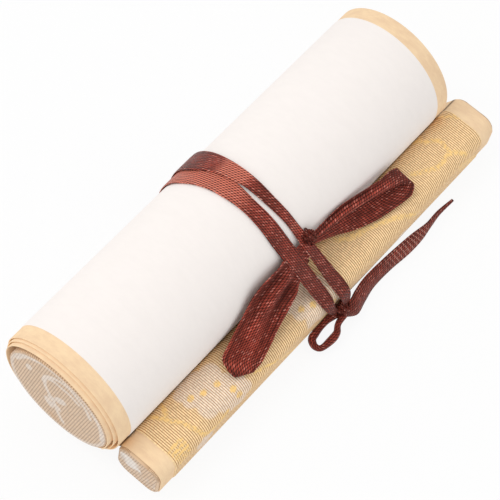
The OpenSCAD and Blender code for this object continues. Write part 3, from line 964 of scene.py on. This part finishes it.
def cup_profile(radius, wall, skirt, edge):
    """Profile of a cloth cup as rows of (radius, depth), and the number of its first row on the outer face.

    It runs over the inner face, the inner wall, the mouth, the outer wall, a quarter arc at the rim and the
    outer face. The depth is 0 at the wood's end and grows outwards.
    """
    a = np.linspace(0, math.pi / 2, CUP_RIM_ROWS)
    outer, pole = radius + wall, CUP_POLE * radius
    inside = np.array([[pole, 0], [radius, 0], [radius, -skirt], [outer, -skirt], [outer, -skirt / 2]])
    rim = np.stack([outer - edge + edge * np.cos(a), wall - edge + edge * np.sin(a)], axis=-1)
    face_r = np.linspace(outer - edge, pole, CUP_FACE_ROWS)[1:]
    face = np.stack([face_r, np.full_like(face_r, wall)], axis=-1)
    return np.concatenate([inside, rim, face]), len(inside) + len(rim) - 1


class SCROLL_OT_ends(ScrollOperator, bpy.types.Operator):
    """Cover the ends of the roller and of the stave with ribbed cloth."""
    bl_idname = "scroll.ends"
    bl_label = "End cloths"

    def execute(self, context):
        material = end_brocade_material()
        round_end = (ROLLER_MID, ROLLER_RADIUS, ROLLER_RADIUS, leaf_figures)
        square_end = (STAVE_MID, STAVE_HALF, settings("roll").corner, patch_figures)
        for node, x, way, end in (("roller_cap_near", ROLLER_LOW[0], -1, round_end),
                                  ("roller_cap_far", ROLLER_HIGH[0], 1, round_end),
                                  ("stave_cap_near", STAVE_LOW[0], -1, square_end),
                                  ("stave_cap_far", STAVE_HIGH[0], 1, square_end)):
            stand_in(self.cup(node + "_cloth", material, x, way, *end), node)
        return {"FINISHED"}

    def cup(self, name, material, x, way, middle, half, corner, figures):
        """Cup of cloth: each profile row is a round or round-cornered square ring, pleated on its sides.

        A ring of half size h has its corner centres at c = (half - corner) h / half and a corner radius of
        h - c, so a ring of the roller, whose corner is its radius, is a circle.
        """
        roll = settings("roll")
        profile, rim = cup_profile(half, roll.cap, roll.skirt, roll.edge)
        a = (np.arange(CUP_COLUMNS + 1) + 0.5) / CUP_COLUMNS * TURN
        size, depth = profile[:, :1], profile[:, 1:]
        centre = np.minimum((half - corner) * size / half, half - corner)
        radius = size - centre + CAP_PLEAT * np.sin(CAP_PLEATS * a) * (size > half)
        y = np.sign(np.cos(a)) * centre + radius * np.cos(a)
        z = np.sign(np.sin(a)) * centre + radius * np.sin(a)
        depth = np.broadcast_to(depth, y.shape)
        points = np.stack([x + way * depth, middle[1] + y, middle[2] + z], axis=-1)
        c, s = math.cos(RIB_TILT), math.sin(RIB_TILT)
        flat = np.stack([c * y + s * z, c * z - s * y], axis=-1)
        skirt = np.stack([np.broadcast_to(a * half, y.shape), depth], axis=-1)
        on_face = (np.arange(len(profile)) >= rim)[:, None]
        uv = np.where(on_face[..., None], flat, skirt)
        gold, silver = ((mask * on_face)[:, :-1] for mask in figures(y / half, z / half))
        return skin(name, [(points[:, :-1], uv)], material, [("gold", gold), ("silver", silver)])


# The ribbon: given points in millimetres, counted from the top of the stave's wrap or from its foot
# The strands' middle, width and lift are pairs of place along the belt and millimetres
BELT_GAP = 0.2 * MM  # between the belt and what it ties
BELT_END = 1.0 * MM  # height of the front knot over the stave's lower corner centre
BELT_END_GAP = 0.5 * MM  # from there to each end of the belt
BRIDGE_ANGLE = math.radians(138)  # about where the belt meets the roll
NEAR_MIDDLE = [(0, 5), (1, 2.1), (2, 1.9), (3, -1.5), (3.45, -2.1), (3.9, -2.2), (4.25, -2.6), (5, -3.2),
               (5.4, -4), (6, -4), (7, 0), (9, 5)]
NEAR_WIDTH = [(0, 2), (1, 2.6), (2, 4.3), (3, 5), (3.45, 4.3), (3.9, 6.4), (4.25, 8.4), (4.8, 9), (6, 9.4),
              (7, 9), (9, 3)]
NEAR_LIFT = [(0, 1.4), (1, 0.8), (2, 0)]
FAR_MIDDLE = [(0, 8.5), (1, 7.7), (2, 7.5), (3, 4.2), (3.35, 3), (3.6, 2.7), (3.95, 2.1), (4.25, 1.4),
              (4.8, 1.6), (5, 2.2), (5.4, 5.8), (6, 5.8), (7, 9), (9, 8.5)]
FAR_WIDTH = [(0, 2.4), (1, 3.6), (2, 4.3), (3, 2.6), (3.35, 3.1), (3.6, 3.75), (3.95, 5.3), (4.25, 7.4),
             (4.8, 8), (6, 9.4), (7, 8), (9, 3)]
FAR_LIFT = [(0, 1.6), (1, 1.4), (1.6, 0.7), (2.2, 0), (3.3, 0), (3.6, 0.5), (5.2, 0.5), (5.6, 0)]
FLAT_LOOP_ROLL_SIDE = [
    (5, 6.2, 12.4), (-3.5, 6.2, 13), (-8.5, 6.2, 13), (-15, 6, 12.3), (-20.5, 4.8, 8), (-25.6, 3.6, 4.2),
    (-29.6, 2.3, 2.3), (-30.8, -0.4, 1.8), (-31, -3, 1.3), (-30.6, -0.6, 0.8), (-29, 1.9, 0.9),
    (-24.5, 2.6, 2.6), (-19, 3.4, 6), (-14, 4.8, 10), (-7.5, 5.2, 10.2), (4, 4.8, 9.6)]
FLAT_LOOP_FRONT_SIDE = [
    (5, 3.4, 9.4), (-2.8, 0.4, 6.2), (-6, -0.6, 5.8), (-10.5, -2, 6.3), (-14.5, -3, 4.5), (-18.5, -4.3, 2.8),
    (-23.2, -5.6, 2), (-24.8, -5.7, 1.7), (-26.4, -5.7, 1.3), (-24.6, -5.5, 0.8), (-22.8, -5.2, 0.8),
    (-18, -3.9, 1.5), (-14.5, -2.6, 3.2), (-10.2, -1.4, 5.2), (-6, 0.4, 4.6), (4, 2.6, 7)]
OPEN_LOOP_HIGH = [
    (6.5, 5.8, 12.4), (12, 5.8, 12), (19.6, 6.1, 11), (27, 4.9, 9.6), (34, 3.8, 8.2), (38.3, 3.8, 7.2),
    (41, 3.3, 6), (40.9, 2.9, 5), (37.7, 2.3, 4), (32.5, 3.1, 3.4), (25.3, 4.4, 3.6), (17.5, 5.1, 5.5),
    (7.5, 5.2, 10)]
OPEN_LOOP_LOW = [
    (6.5, 4.6, 10.8), (12, 4.5, 10.3), (18.4, 3.8, 8.8), (25.7, 2.8, 7.2), (33.1, 1.3, 5.8),
    (38.8, -0.4, 4.6), (41.9, -2.5, 3.4), (40.5, -3.7, 2.4), (38.4, -3.8, 1.5), (29.1, -1.9, 1),
    (21.9, 0.6, 1.4), (16.1, 2.9, 3.4), (8, 4.4, 8.5)]
TAIL_HIGH = [
    (5, -1.9, 6.8), (10, -1.9, 6.2), (13, -1.2, 5.8), (18, -0.5, 5.2), (25, -0.6, 4.6), (33, -1.1, 4),
    (38, -1.5, 3.4), (43.5, -2.2, 2.6), (48.7, -2, 1.8), (54.9, -2.5, 0.9)]
TAIL_LOW = [
    (6, -4, 4.6), (9.4, -5.6, 3.2), (14, -4.6, 2.2), (19.5, -3.5, 1.2), (26.5, -3.5, 0.7), (34, -4.2, 0.5),
    (39.6, -4.2, 0.5), (44.6, -3.5, 0.5), (49.2, -3, 0.5), (55, -3.2, 0.4)]
EYE_LOOP = [(6, -2, 5), (2.9, -1, 4.2), (0.5, -0.9, 4), (-2.2, -0.9, 3.2), (-4, -1.2, 2.6),
            (-4.9, -2.8, 2.2), (-4.3, -4.5, 2.4), (-1.3, -5.1, 3), (1.3, -5, 3.6), (3.2, -3.8, 4.4),
            (6.5, -3.2, 5)]
EYE_PLANE = (0.1, -0.4, 0.9)  # direction that the eye faces
EYE_RADIUS = 0.98 * MM
EYE_SWELL = 0.14  # share by which the cord swells
EYE_SWELL_LENGTH = 1.3 * MM

# The knots: middle, lean from upright and size, and the turns of each as slope, share of the size, half width
BOW_KNOT = ((6.5, 5.8, 12.9), math.radians(48), 1.9 * MM)
FRONT_KNOT = ((6.8, -2.2, 5.77), math.radians(64), 2.2 * MM)
KNOT_TURNS = [(0.35, 1.0, 0.62), (1.25, 0.9, 0.5), (-0.7, 0.82, 0.45)]
KNOT_FLATNESS = 0.6  # height of a turn's oval by its width
KNOT_SHARE = 0.985  # of a full turn, so that its ends don't meet
KNOT_FOLD = 0.25 * MM  # height of the pleats
KNOT_WAVE = 0.2  # share by which the width varies

# Folds along the bands: pairs of share of the length and height of the fold in millimetres
FLAT_LOOP_FOLDS = [(0, 0.1), (0.11, 0.2), (0.15, 0.95), (0.24, 0.85), (0.33, 0.5), (0.42, 0.2),
                   (0.48, 0.0), (1, 0.0)]
OPEN_LOOP_FOLDS = [(0, 0.4), (0.12, 0.85), (0.3, 0.85), (0.42, 0.4), (0.5, 0.0), (0.6, -0.2), (1, -0.2)]
TAIL_FOLDS = [(0, 0.9), (0.15, 0.6), (0.5, 0.3), (1, 0.1)]

# Painted light and shade along each part, paler where the tape is lit and darker where it lies in shade:
# pairs of share of the length and tone
NEAR_PAINTED_SHADING = [(0, 0.5), (0.1, 0.75), (0.22, 0.82), (0.28, 1.02), (0.32, 1.24), (0.36, 1.35), (0.48, 1.35),
             (0.6, 1), (1, 0.7)]
FAR_PAINTED_SHADING = [(0, 0.5), (0.1, 0.75), (0.17, 0.9), (0.22, 1.2), (0.25, 1), (0.285, 0.6), (0.31, 0.7),
            (0.345, 1.35), (0.385, 1.35), (0.43, 0.8), (0.46, 0.6), (0.6, 0.8), (1, 0.7)]
FLAT_LOOP_PAINTED_SHADING = [(0, 0.75), (0.15, 0.95), (0.3, 1.08), (0.45, 1.05), (0.5, 0.7), (1, 0.5)]
OPEN_LOOP_PAINTED_SHADING = [(0, 0.75), (0.2, 1.1), (0.36, 0.95), (0.43, 0.55), (0.53, 0.4), (0.62, 0.55), (0.8, 0.9),
                  (1, 0.9)]
TAIL_PAINTED_SHADING = [(0, 0.45), (0.15, 0.68), (0.3, 0.78), (1, 0.66)]
KNOT_PAINTED_SHADING = [(0, 0.45), (0.5, 0.7), (1, 0.45)]
FOLD_PAINTED_SHADE = 0.8  # share of the tone that the deepest fold loses, as painted shade

# Where the tape is laced open: pairs of share of the length and strength
TAIL_LACE = [(0.42, 0), (0.5, 1), (0.72, 1), (0.79, 0)]
NO_LACE = [(0, 0)]


def along_rings(shape, pairs):
    """Value at each point of a part's rings, looked up by the share of its rings."""
    return np.broadcast_to(look_up(np.linspace(0, 1, shape[0]), pairs)[:, None], shape)


def pleats(p):
    """Cross-fold with raised edges, a ridge along the middle and two valleys: cos(2 pi p)."""
    return np.cos(2 * math.pi * p)


def crown(p):
    """Cross-fold that stands up along the middle: 1 - p^2."""
    return 1 - p * p


def lean(p):
    """Cross-fold that dips beside one edge and stands up beside the other: sin(pi p)."""
    return np.sin(math.pi * p)


class SCROLL_OT_ribbon(ScrollOperator, bpy.types.Operator):
    """Tie the ribbon: two strands round roll and stave, two loops, a tail, an eye and two knots."""
    bl_idname = "scroll.ribbon"
    bl_label = "Ribbon bow"

    def execute(self, context):
        ribbon, sheet = settings("ribbon"), settings("sheet")
        _, _, corner_in, corner_r = sheet_sizes()
        wrap = corner_in + corner_r + sheet.thickness / 2 + sheet.cloth_thickness
        top = np.array([0.0, STAVE_MID[1], STAVE_MID[2] + wrap])
        foot = np.array([0.0, STAVE_MID[1] - wrap, 0.0])
        flat_loop = self.rail(top, FLAT_LOOP_ROLL_SIDE), self.rail(top, FLAT_LOOP_FRONT_SIDE)
        open_loop = self.rail(top, OPEN_LOOP_HIGH), self.rail(top, OPEN_LOOP_LOW)
        tail = self.rail(foot, TAIL_HIGH), self.rail(foot, TAIL_LOW)
        knots = self.knot(top, *BOW_KNOT) + self.knot(foot, *FRONT_KNOT)
        dyed = [
            (self.strand(NEAR_MIDDLE, NEAR_WIDTH, NEAR_LIFT), NEAR_PAINTED_SHADING, NO_LACE),
            (self.strand(FAR_MIDDLE, FAR_WIDTH, FAR_LIFT), FAR_PAINTED_SHADING, NO_LACE),
            (self.band(*flat_loop, FLAT_LOOP_FOLDS, pleats), FLAT_LOOP_PAINTED_SHADING, NO_LACE),
            (self.band(*open_loop, OPEN_LOOP_FOLDS, lean), OPEN_LOOP_PAINTED_SHADING, NO_LACE),
            (self.band(*tail, TAIL_FOLDS, crown), TAIL_PAINTED_SHADING, TAIL_LACE),
            (self.rope(self.rail(foot, EYE_LOOP), EYE_RADIUS), TAIL_PAINTED_SHADING, NO_LACE),
            *((turn, KNOT_PAINTED_SHADING, NO_LACE) for turn in knots),
        ]
        skins, edge, painted_shading, lace = [], [], [], []
        # Each part's painted light and shade is its tone list, darkened further in its folds as painted shade
        for (rings, uv, to_edge, valley), tones, strengths in dyed:
            skins.append((rings, uv))
            edge.append(to_edge.ravel())
            painted_shading.append((along_rings(valley.shape, tones) * (1 - FOLD_PAINTED_SHADE * valley)).ravel())
            lace.append(along_rings(valley.shape, strengths).ravel())
        attributes = [(key, np.concatenate(values))
                      for key, values in (("edge", edge), ("painted_shading", painted_shading), ("lace", lace))]
        piece = skin("ribbon_tape", skins, ribbon_material(), attributes)
        stand_in(piece, "ribbon")
        return {"FINISHED"}

    def rail(self, origin, points):
        """Smooth edge curve in metres, its points moved out to where the ribbon clears the roll."""
        p = origin + np.array(points, dtype=float) * MM
        a = np.arctan2(p[:, 2] - ROLLER_MID[2], p[:, 1])
        r = np.hypot(p[:, 1], p[:, 2] - ROLLER_MID[2])
        need = self.roll_radius(a) + settings("ribbon").thickness
        push = np.maximum(r, need)
        p[:, 1], p[:, 2] = push * np.cos(a), ROLLER_MID[2] + push * np.sin(a)
        return curve(p, RAIL_STEPS)

    def roll_radius(self, a):
        """Radius of the ribbon's middle where it lies on the roll's outer turn at an angle."""
        sheet, roll = settings("sheet"), settings("roll")
        touch = sheet_sizes()[1]
        k = roll.turns - 1 + ((touch - a) % TURN) / TURN
        outer = sheet.thickness / 2 + sheet.white_thickness
        return turn_radius(a, k) + outer + BELT_GAP + settings("ribbon").thickness / 2

    def belt(self):
        """Middle line of the belt as (y, z), place as the strands' lists count it, and length.

        0 is the front knot, 1 to 2 the stave's top edge, 3 to 6 the roll, 7 to 8 the stave's lower edge and 9
        the knot again. From the top edge the belt runs along the common tangent of edge and roll.
        """
        sheet, ribbon = settings("sheet"), settings("ribbon")
        _, _, corner_in, corner_r = sheet_sizes()
        low = ribbon.thickness / 2
        edge_r = corner_r + sheet.thickness / 2 + sheet.cloth_thickness + BELT_GAP + low
        upper = STAVE_MID[1:] + np.array([-corner_in, corner_in])
        under = STAVE_MID[1:] - corner_in
        gap = upper - np.array([0.0, ROLLER_MID[2]])
        tilt = math.acos((self.roll_radius(BRIDGE_ANGLE) - edge_r) / np.linalg.norm(gap))
        bridge = math.pi - math.atan2(gap[1], -gap[0]) - tilt
        over = arc(upper, edge_r, math.pi, bridge, BELT_CORNER_POINTS)
        a = np.linspace(bridge, -math.pi / 2, BELT_ROLL_POINTS)
        r = self.roll_radius(a)
        round_roll = np.stack([r * np.cos(a), np.maximum(ROLLER_MID[2] + r * np.sin(a), low)], axis=-1)
        beneath = arc(under, edge_r, 1.5 * math.pi, math.pi, BELT_CORNER_POINTS)
        beneath[:, 1] = np.maximum(beneath[:, 1], low)
        front, knot_z = upper[0] - edge_r, under[1] + BELT_END
        ends = np.array([[front, knot_z + BELT_END_GAP], [front, knot_z - BELT_END_GAP]])
        path = np.concatenate([ends[:1], over, round_roll, beneath, ends[1:]])
        place = np.concatenate([[0], np.linspace(1, 2, len(over)), np.linspace(3, 6, len(round_roll)),
                                np.linspace(7, 8, len(beneath)), [9]])
        s = length_along(path)
        even = np.linspace(0, s[-1], int(s[-1] / BELT_STEP))
        y, z, place = (np.interp(even, s, column) for column in (*path.T, place))
        return np.stack([y, z], axis=-1), place, even

    def strand(self, middle, width, lift):
        """Strand of the belt: its middle, width and lift are looked up by place and smoothed along it."""
        path, place, s = self.belt()
        window = np.hanning(BELT_SMOOTHING) / np.hanning(BELT_SMOOTHING).sum()
        x, across, up = (
            np.convolve(np.pad(look_up(place, pairs), BELT_SMOOTHING // 2, mode="edge"), window, mode="valid")
            for pairs in (middle, width, lift))
        normal = np.concatenate([np.zeros((len(path), 1)), path_normals(path)], axis=1)
        core = np.concatenate([x[:, None] * MM, path], axis=1) + normal * up[:, None] * MM
        half = across[:, None] * MM / 2 * np.array([1.0, 0.0, 0.0])
        return self.tape(core - half, core + half, normal, s)

    def band(self, edge_a, edge_b, folds, shape):
        """Band of ribbon ruled between two edge curves, its normal square to the rungs and to its way."""
        way = np.gradient(edge_a + edge_b, axis=0)
        normal = unit(np.cross(edge_b - edge_a, way))
        normal *= np.sign(normal[0, 2])
        s = length_along((edge_a + edge_b) / 2)
        return self.tape(edge_a, edge_b, normal, s, look_up(s / s[-1], folds) * MM, shape)

    def tape(self, edge_a, edge_b, normal, s, height=0.0, shape=crown):
        """Closed rings of tape with their UV map, share of the way to the edge and depth in a fold.

        Across the band p goes from -1 to 1. The tape reaches t/2 (1 - |p|^6)^(1/3) to each side of the band,
        which is ruled between its edges and lifted along its normal by height times the cross-fold's shape.
        """
        p = np.sin(np.linspace(-math.pi / 2, math.pi / 2, TAPE_COLUMNS))
        swell = np.cbrt(np.maximum(1 - np.abs(p) ** 6, 0.0)) * settings("ribbon").thickness / 2
        height = np.broadcast_to(height, s.shape)[:, None]
        ruled = edge_a[:, None, :] * (1 - p[:, None]) / 2 + edge_b[:, None, :] * (1 + p[:, None]) / 2
        upper, lower = (ruled + normal[:, None, :] * (height * shape(p) + side * swell)[..., None]
                        for side in (1, -1))
        rings = np.concatenate([upper, lower[:, -2:0:-1]], axis=1)
        width = np.linalg.norm(edge_b - edge_a, axis=-1)
        q = np.concatenate([p, p[-2:0:-1], p[:1]])
        uv = np.stack(np.broadcast_arrays(q[None, :] * width[:, None] / 2, s[:, None]), axis=-1)
        valley = np.clip(height / MM, 0, 1) * np.clip(-shape(q[:-1]), 0, 1)
        return rings, uv, np.broadcast_to(np.abs(q[:-1]), rings.shape[:2]), valley

    def rope(self, path, radius):
        """Tape rolled up to a cord: circles round the path, their radius swelling as a sine along it."""
        way = unit(np.gradient(path, axis=0))
        side = unit(np.cross(way, np.array(EYE_PLANE)))
        up = np.cross(side, way)
        a = np.linspace(0, TURN, ROPE_COLUMNS + 1)
        s = length_along(path)
        swell = radius * (1 + EYE_SWELL * np.sin(s / EYE_SWELL_LENGTH))[:, None, None]
        circle = side[:, None, :] * np.cos(a)[:, None] + up[:, None, :] * np.sin(a)[:, None]
        rings = path[:, None, :] + swell * circle[:, :-1]
        uv = np.stack(np.broadcast_arrays((a * radius)[None, :], s[:, None]), axis=-1)
        return rings, uv, np.zeros(rings.shape[:2]), np.zeros(rings.shape[:2])

    def knot(self, origin, middle, turn, size):
        """Knot: three crossed turns of tape, each an oval ring that lies low on what it ties.

        A turn follows size share (cos a, flatness sin a), across and out of the knot. It is turned by its
        slope about the way out, and its tape is a little wider in two places.
        """
        out = np.array([0.0, -math.sin(turn), math.cos(turn)])
        along = np.array([1.0, 0.0, 0.0])
        across = np.cross(out, along)
        a = np.linspace(0, TURN * KNOT_SHARE, KNOT_ROWS)[:, None]
        turns = []
        for slope, share, half in KNOT_TURNS:
            axis = math.cos(slope) * along + math.sin(slope) * across
            side = np.cross(out, axis)
            oval = size * share * (side * np.cos(a) + KNOT_FLATNESS * out * np.sin(a))
            normal = unit(KNOT_FLATNESS * side * np.cos(a) + out * np.sin(a))
            spread = axis * size * half * (1 + KNOT_WAVE * np.cos(2 * a + slope))
            path = origin + np.array(middle) * MM + oval
            s = length_along(path)
            turns.append(self.tape(path - spread, path + spread, normal, s, KNOT_FOLD, pleats))
        return turns


class SCROLL_OT_wood(ScrollOperator, bpy.types.Operator):
    """Give the two sticks their wood."""
    bl_idname = "scroll.wood"
    bl_label = "Wooden sticks"

    def execute(self, context):
        wood = wood_material()
        for node in ("roller", "stave"):
            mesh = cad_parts[node].data
            mesh.materials.clear()
            mesh.materials.append(wood)
        return {"FINISHED"}


class SCROLL_OT_stage(ScrollOperator, bpy.types.Operator):
    """Set the camera, the lamp, the sky and the floor."""
    bl_idname = "scroll.stage"
    bl_label = "Stage"

    def execute(self, context):
        stage, scene = settings("stage"), context.scene
        scene.view_settings.view_transform = "Standard"
        self.camera(scene, stage)
        self.lamp(stage)
        self.sky(scene, stage)
        self.floor()
        return {"FINISHED"}

    def camera(self, scene, stage):
        """Camera at the eye, with its right and back directions made square to each other."""
        back = Vector(stage.back).normalized()
        right = Vector(stage.right)
        right = (right - back * right.dot(back)).normalized()
        data = bpy.data.cameras.new("camera")
        data.lens = stage.lens
        data.sensor_width = SENSOR_WIDTH
        data.clip_start = CLIP_START
        camera = bpy.data.objects.new("camera", data)
        scene.collection.objects.link(camera)
        turn = Matrix((right, back.cross(right), back)).transposed().to_4x4()
        camera.matrix_world = Matrix.Translation(Vector(stage.eye)) @ turn
        scene.camera = camera

    def lamp(self, stage):
        """Large soft lamp behind the roll, turned to the scroll."""
        data = bpy.data.lights.new("key", "AREA")
        data.shape = "DISK"
        data.size = KEY_SIZE
        data.energy = stage.key
        lamp = bpy.data.objects.new("key", data)
        bpy.context.collection.objects.link(lamp)
        lamp.location = KEY_PLACE
        lamp.rotation_euler = (-Vector(KEY_PLACE)).to_track_quat("-Z", "Y").to_euler()

    def seen(self, tree):
        """1 on rays from the camera and on mirrored or refracted ones, 0 on the rest."""
        rays = tree.add("LightPath").outputs
        mirrored = tree.math("MAXIMUM", rays["Is Camera Ray"], rays["Is Glossy Ray"])
        return tree.math("MAXIMUM", mirrored, rays["Is Transmission Ray"])

    def sky(self, scene, stage):
        """White sky, which lights the scroll with less strength than it is seen with."""
        scene.world = bpy.data.worlds.new("sky")
        scene.world.use_nodes = True
        t = Tree(scene.world.node_tree)
        background = scene.world.node_tree.nodes["Background"]
        background.inputs["Color"].default_value = (1.0, 1.0, 1.0, 1.0)
        t.plug(background.inputs["Strength"], t.scaled(self.seen(t), 1.0 - stage.sky, stage.sky))

    def floor(self):
        """Square floor whose colour is pushed towards white for the camera, and keeps a faint shadow."""
        corners = [(x * FLOOR_HALF, y * FLOOR_HALF, 0) for x, y in ((-1, -1), (1, -1), (1, 1), (-1, 1))]
        mesh = bpy.data.meshes.new("floor")
        mesh.from_pydata(corners, [], [(0, 1, 2, 3)])
        floor = bpy.data.objects.new("floor", mesh)
        bpy.context.collection.objects.link(floor)
        material, t, shader = new_material("floor", Base_Color=(0.9, 0.9, 0.9, 1.0), Roughness=0.9)
        mixed = t.add("MixShader")
        glow = t.add("Emission")
        t.fill(mixed, (t.times(self.seen(t), FLOOR_GLOW), shader.outputs[0], glow.outputs[0]))
        t.plug(material.node_tree.nodes["Material Output"].inputs[0], mixed.outputs[0])
        mesh.materials.append(material)


class SCROLL_PT_panel(bpy.types.Panel):
    """Sidebar panel with the scroll's sizes, colours and steps."""
    bl_idname = "SCROLL_PT_panel"
    bl_label = "Scroll"
    bl_space_type = "VIEW_3D"
    bl_region_type = "UI"
    bl_category = "Scroll"

    def draw(self, context):
        for name in GROUPS:
            box = self.layout.box()
            box.label(text=name.title())
            group = settings(name)
            for key in group.bl_rna.properties.keys():
                if key not in ("rna_type", "name"):
                    box.prop(group, key)
        for operator in OPERATORS:
            self.layout.operator(operator.bl_idname)


GROUPS = {"sheet": ScrollSheet, "roll": ScrollRoll, "brocade": ScrollBrocade, "ribbon": ScrollRibbon,
          "stage": ScrollStage}
OPERATORS = (SCROLL_OT_groups, SCROLL_OT_sheet, SCROLL_OT_ends, SCROLL_OT_ribbon, SCROLL_OT_wood,
             SCROLL_OT_stage)


def register():
    """Add the property groups, the operators and the panel to Blender."""
    for name, group in GROUPS.items():
        bpy.utils.register_class(group)
        setattr(bpy.types.Scene, "scroll_" + name, bpy.props.PointerProperty(type=group))
    for cls in (*OPERATORS, SCROLL_PT_panel):
        bpy.utils.register_class(cls)


def unregister():
    """Take them out again, in the opposite order."""
    for cls in (SCROLL_PT_panel, *reversed(OPERATORS)):
        bpy.utils.unregister_class(cls)
    for name, group in GROUPS.items():
        delattr(bpy.types.Scene, "scroll_" + name)
        bpy.utils.unregister_class(group)


def main():
    """Build the scroll and its stage."""
    register()
    bpy.ops.scroll.groups()
    bpy.ops.scroll.sheet()
    bpy.ops.scroll.ends()
    bpy.ops.scroll.ribbon()
    bpy.ops.scroll.wood()
    bpy.ops.scroll.stage()


if __name__ == "__main__":
    main()
